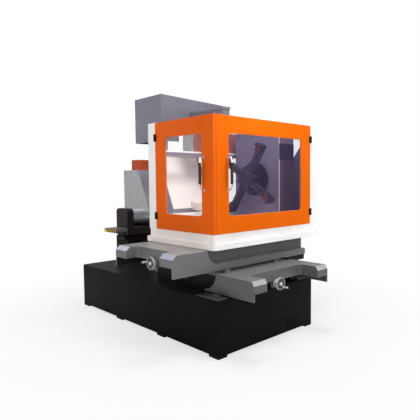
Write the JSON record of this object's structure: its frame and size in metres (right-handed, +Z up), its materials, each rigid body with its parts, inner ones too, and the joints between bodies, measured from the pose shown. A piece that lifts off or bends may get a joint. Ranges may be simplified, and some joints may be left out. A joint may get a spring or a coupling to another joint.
{
  "type": "stone wire saw machine",
  "caption": "Free-standing wire saw: cross slides carry a doored tray with a work head, and a column with wire arms and a rear winding drum stands behind.",
  "frame": {"origin": "on the floor under the middle of the machine's outline", "axes": "+X to the right along the short front side, +Y to the rear, +Z up"},
  "size_m": [2.074, 2.8, 2.512],
  "materials": {
    "black_paint": "semi-gloss black paint over filled steel",
    "foot_iron": "black iron pads",
    "plate_grey": "ground steel plate",
    "casting_grey": "grey machine enamel on iron castings",
    "way_steel": "ground steel",
    "bolt_steel": "blackened steel",
    "column_paint": "grey-lilac machine enamel",
    "panel_cream": "off-white sheet",
    "housing_grey": "light grey sheet",
    "box_red": "brick-red box",
    "hood_lilac": "lilac-grey sheet",
    "wire_steel": "coated steel wire",
    "gland_plastic": "black plastic",
    "nut_bronze": "bronze",
    "white_paint": "gloss white enamel",
    "rear_orange": "orange powder coat",
    "side_orange": "orange powder coat, in shade",
    "head_lilac": "lilac-grey enamel",
    "hatch_dark": "dark lilac sheet",
    "hinge_black": "black hinge paint",
    "pane_clear": "clear tinted pane",
    "grip_black": "black sleeve",
    "bow_chrome": "polished tube",
    "chuck_dark": "dark machined iron",
    "arm_lilac": "dark lilac enamel",
    "jaw_dark": "dark steel jaws",
    "wheel_alu": "turned aluminium",
    "carriage_brown": "dark brown-black enamel",
    "motor_grey": "dark grey motor paint",
    "drum_silver": "wire wound on a turned drum",
    "pulley_steel": "turned steel"
  },
  "bodies": {
    "frame": {"bed": "black_paint", "bed_feet": "foot_iron", "corner_plate": "plate_grey", "riser_frame": "black_paint", "lower_casting": "casting_grey", "y_ways": "way_steel", "y_bearings": "casting_grey", "casting_bolts": "bolt_steel", "column": "column_paint", "column_panel": "panel_cream", "side_housings": "housing_grey", "side_box": "box_red", "hood": "hood_lilac", "upper_arm": "hood_lilac", "lower_arm": "column_paint", "pulley_axles": "way_steel", "drum_pedestal": "black_paint", "cutting_wire": "wire_steel", "power_gland": "gland_plastic"},
    "saddle": {"saddle_casting": "casting_grey", "y_nut": "nut_bronze", "x_ways": "way_steel", "x_bearings": "casting_grey", "end_guard": "black_paint"},
    "table": {"table_base": "plate_grey", "x_nut": "nut_bronze", "tray": "white_paint", "enclosure_frame": "white_paint", "rear_panel": "rear_orange", "headstock_case": "head_lilac", "headstock_hatch": "hatch_dark", "spindle_housing": "way_steel", "hinge_leaves": "hinge_black"},
    "left_leaf": {"left_door": "side_orange", "left_window": "pane_clear", "left_grip": "grip_black", "left_bow": "bow_chrome", "left_knuckles": "hinge_black"},
    "front_leaf": {"front_door": "rear_orange", "front_window": "pane_clear", "front_grip": "grip_black", "front_bow": "bow_chrome", "front_knuckles": "hinge_black"},
    "chuck": {"chuck_hub": "chuck_dark", "chuck_arms": "arm_lilac"},
    "clamp_jaw_1": {"jaw_1": "jaw_dark"},
    "clamp_jaw_2": {"jaw_2": "jaw_dark"},
    "clamp_jaw_3": {"jaw_3": "jaw_dark"},
    "clamp_jaw_4": {"jaw_4": "jaw_dark"},
    "y_feed": {"y_screw": "way_steel", "y_handwheel": "wheel_alu"},
    "x_feed": {"x_screw": "way_steel", "x_handwheel": "wheel_alu"},
    "carriage": {"drum_carriage": "carriage_brown", "drum_motor": "motor_grey"},
    "wire_drum": {"drum": "drum_silver"},
    "pulley_1": {"upper_rear_pulley": "pulley_steel"},
    "pulley_2": {"upper_tip_pulley": "pulley_steel"},
    "pulley_3": {"lower_tip_pulley": "pulley_steel"},
    "pulley_4": {"lower_rear_pulley": "pulley_steel"}
  },
  "joints": [
    {"name": "saddle_slide", "type": "slide", "parent": "frame", "child": "saddle", "axis": [0, 1, 0], "range_m": [-0.35, 0]},
    {"name": "table_slide", "type": "slide", "parent": "saddle", "child": "table", "axis": [1, 0, 0], "range_m": [-0.2, 0.1]},
    {"name": "y_wheel_spin", "type": "hinge", "parent": "frame", "child": "y_feed", "pos_m": [-0.0015, -1.4, 0.584], "axis": [0, 1, 0], "continuous": true},
    {"name": "x_wheel_spin", "type": "hinge", "parent": "saddle", "child": "x_feed", "pos_m": [-1.037, -0.46, 0.804], "axis": [1, 0, 0], "continuous": true},
    {"name": "left_door_hinge", "type": "hinge", "parent": "table", "child": "left_leaf", "pos_m": [-0.622, -0.107, 1.081], "axis": [0, 0, 1], "range_deg": [-110, 0]},
    {"name": "front_door_hinge", "type": "hinge", "parent": "table", "child": "front_leaf", "pos_m": [0.864, -0.985, 1.081], "axis": [0, 0, 1], "range_deg": [0, 110]},
    {"name": "chuck_spin", "type": "hinge", "parent": "table", "child": "chuck", "pos_m": [0.582, -0.43, 1.585], "axis": [1, 0, 0], "continuous": true},
    {"name": "jaw_1_slide", "type": "slide", "parent": "chuck", "child": "clamp_jaw_1", "axis": [0, -0.5446, 0.8387], "range_m": [-0.15, 0]},
    {"name": "jaw_2_slide", "type": "slide", "parent": "chuck", "child": "clamp_jaw_2", "axis": [0, -0.8387, -0.5446], "range_m": [-0.15, 0]},
    {"name": "jaw_3_slide", "type": "slide", "parent": "chuck", "child": "clamp_jaw_3", "axis": [0, 0.5446, -0.8387], "range_m": [-0.15, 0]},
    {"name": "jaw_4_slide", "type": "slide", "parent": "chuck", "child": "clamp_jaw_4", "axis": [0, 0.8387, 0.5446], "range_m": [-0.15, 0]},
    {"name": "carriage_slide", "type": "slide", "parent": "frame", "child": "carriage", "axis": [1, 0, 0], "range_m": [-0.03, 0.17]},
    {"name": "drum_spin", "type": "hinge", "parent": "carriage", "child": "wire_drum", "pos_m": [-0.152, 1.15, 1.114], "axis": [1, 0, 0], "range_deg": [-7200, 40800]},
    {"name": "pulley_1_spin", "type": "hinge", "parent": "frame", "child": "pulley_1", "pos_m": [0.0775, 0.47, 2.257], "axis": [1, 0, 0], "continuous": true},
    {"name": "pulley_2_spin", "type": "hinge", "parent": "frame", "child": "pulley_2", "pos_m": [0.0775, -0.3531, 2.257], "axis": [1, 0, 0], "continuous": true},
    {"name": "pulley_3_spin", "type": "hinge", "parent": "frame", "child": "pulley_3", "pos_m": [0.0775, -0.3611, 1.284], "axis": [1, 0, 0], "continuous": true},
    {"name": "pulley_4_spin", "type": "hinge", "parent": "frame", "child": "pulley_4", "pos_m": [0.0775, 0.572, 1.1922], "axis": [1, 0, 0], "continuous": true}
  ],
  "couplings": [
    {"joint": "y_wheel_spin", "follows": "saddle_slide", "rad_per_m": 1256.6},
    {"joint": "x_wheel_spin", "follows": "table_slide", "rad_per_m": 1256.6},
    {"joint": "carriage_slide", "follows": "drum_spin", "m_per_rad": 0.00023873},
    {"joint": "pulley_1_spin", "follows": "drum_spin", "ratio": 2.0575},
    {"joint": "pulley_2_spin", "follows": "drum_spin", "ratio": 2.0575},
    {"joint": "pulley_3_spin", "follows": "drum_spin", "ratio": 2.4161},
    {"joint": "pulley_4_spin", "follows": "drum_spin", "ratio": -2.4161}
  ]
}
